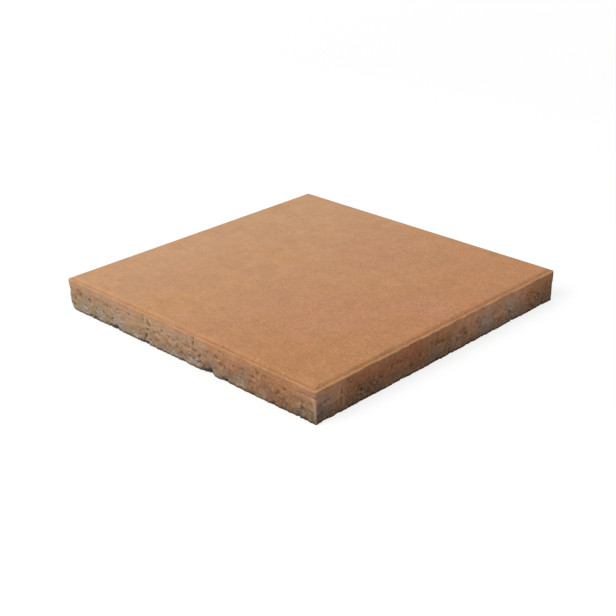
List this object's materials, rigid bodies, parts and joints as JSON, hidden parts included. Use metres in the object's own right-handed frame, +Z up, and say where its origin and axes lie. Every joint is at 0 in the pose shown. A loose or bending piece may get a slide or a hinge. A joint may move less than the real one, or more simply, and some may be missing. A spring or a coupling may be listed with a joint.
{
  "type": "concrete paving slab",
  "caption": "Square pressed concrete paving slab with a stepped, bevelled top edge, laid flat on a bed as one unit of a path, terrace or yard.",
  "frame": {"origin": "centre of the underside, on the bed that the slab lies on", "axes": "+Z up out of the walking face; X and Y along the slab's two pairs of sides, with the broken corner at -X, -Y"},
  "size_m": [0.4, 0.4, 0.04],
  "materials": {
    "pressed_concrete": "matte"
  },
  "bodies": {
    "root": {"slab": "pressed_concrete"}
  },
  "joints": []
}
